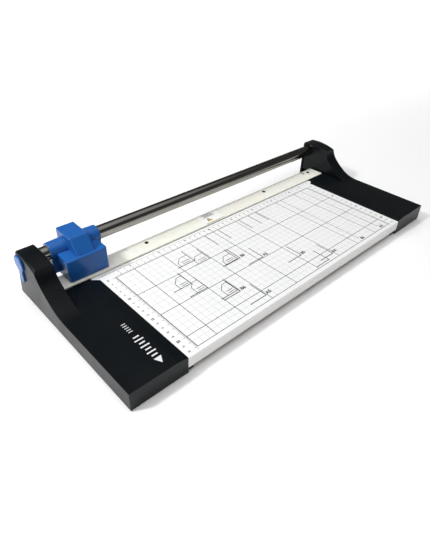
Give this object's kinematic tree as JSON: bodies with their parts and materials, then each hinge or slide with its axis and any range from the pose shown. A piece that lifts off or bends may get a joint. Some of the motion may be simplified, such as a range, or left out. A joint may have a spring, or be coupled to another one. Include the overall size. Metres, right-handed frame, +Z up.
{
  "type": "rotary paper trimmer",
  "caption": "Rotary paper trimmer: printed board between black end caps, chrome rail, blue sliding cutting head with a round blade, cream clamp strip and a blue lock lever.",
  "frame": {"origin": "on the table, at the middle of the whole object's footprint", "axes": "+X along the cut, from the parked head's end to the far end; +Z up; the user stands on the -Y side"},
  "size_m": [0.6234, 0.264, 0.082],
  "materials": {
    "board_core": "raw fibreboard core",
    "board_film": "white printed film, slight sheen",
    "board_edge": "pale grey edge band",
    "knife_steel": "ground edge",
    "screw_steel": "zinc plated",
    "strip_plastic": "cream, translucent",
    "pin_black": "black",
    "label_white": "printed sticker",
    "cap_black": "fine grained black moulding",
    "cover_black": "black moulding",
    "foot_rubber": "soft black rubber",
    "rod_chrome": "polished",
    "blue_plastic": "glossy blue moulding",
    "bushing_plastic": "natural bearing plastic",
    "blade_steel": "hardened, polished",
    "hub_plastic": "black",
    "roller_plastic": "white nylon"
  },
  "bodies": {
    "base": {"base_board": "board_core", "printed_sheet": "board_film", "front_edge_band": "board_edge", "rear_edge_band": "board_edge", "bed_knife": "knife_steel", "knife_screws": "screw_steel", "clamp_springs": "screw_steel", "left_end_cap": "cap_black", "right_end_cap": "cap_black", "left_cheek": "cap_black", "right_cheek": "cap_black", "left_bottom_cover": "cover_black", "right_bottom_cover": "cover_black", "cover_screws": "screw_steel", "board_screws": "screw_steel", "rubber_feet": "foot_rubber", "guide_rod": "rod_chrome", "rod_screw": "screw_steel", "right_rod_cap": "blue_plastic"},
    "clamp": {"clamp_strip": "strip_plastic", "guide_pins": "pin_black", "pin_clips": "screw_steel", "strip_label": "label_white"},
    "carriage": {"left_bushing": "bushing_plastic", "right_bushing": "bushing_plastic"},
    "head": {"head_front_shell": "blue_plastic", "head_rear_cover": "blue_plastic", "head_bottom_cover": "cover_black", "head_screws": "screw_steel", "blade_axle": "screw_steel", "blade_spring": "screw_steel", "roller_pins": "screw_steel"},
    "blade": {"blade": "blade_steel", "blade_hub": "hub_plastic"},
    "left_roller": {"left_roller": "roller_plastic"},
    "right_roller": {"right_roller": "roller_plastic"},
    "lever": {"lock_lever": "blue_plastic", "lever_shaft": "screw_steel"}
  },
  "joints": [
    {"name": "carriage_slide", "type": "slide", "parent": "base", "child": "carriage", "axis": [1, 0, 0], "range_m": [-0.01, 0.478]},
    {"name": "head_press", "type": "hinge", "parent": "carriage", "child": "head", "pos_m": [-0.2345, 0.108, 0.0605], "axis": [1, 0, 0], "range_deg": [0, 1.8], "stiffness_Nm_per_rad": 2.05, "springref_deg": -3.58},
    {"name": "clamp_press", "type": "slide", "parent": "base", "child": "clamp", "axis": [0, 0, -1], "range_m": [0, 0.001], "deforming": ["clamp_springs"]},
    {"name": "blade_spin", "type": "hinge", "parent": "head", "child": "blade", "pos_m": [-0.2345, 0.0945, 0.037], "axis": [0, 1, 0], "range_deg": [-42, 1957]},
    {"name": "left_roller_spin", "type": "hinge", "parent": "head", "child": "left_roller", "pos_m": [-0.2555, 0.077, 0.0325], "axis": [0, 1, 0], "range_deg": [-128, 6087]},
    {"name": "right_roller_spin", "type": "hinge", "parent": "head", "child": "right_roller", "pos_m": [-0.2135, 0.077, 0.0325], "axis": [0, 1, 0], "range_deg": [-128, 6087]},
    {"name": "lever_turn", "type": "hinge", "parent": "base", "child": "lever", "pos_m": [-0.3093, 0.108, 0.0605], "axis": [-1, 0, 0], "range_deg": [0, 90]}
  ],
  "couplings": [
    {"joint": "clamp_press", "follows": "head_press", "m_per_rad": 0.031},
    {"joint": "blade_spin", "follows": "carriage_slide", "rad_per_m": 71.43},
    {"joint": "left_roller_spin", "follows": "carriage_slide", "rad_per_m": 222.22},
    {"joint": "right_roller_spin", "follows": "carriage_slide", "rad_per_m": 222.22}
  ]
}
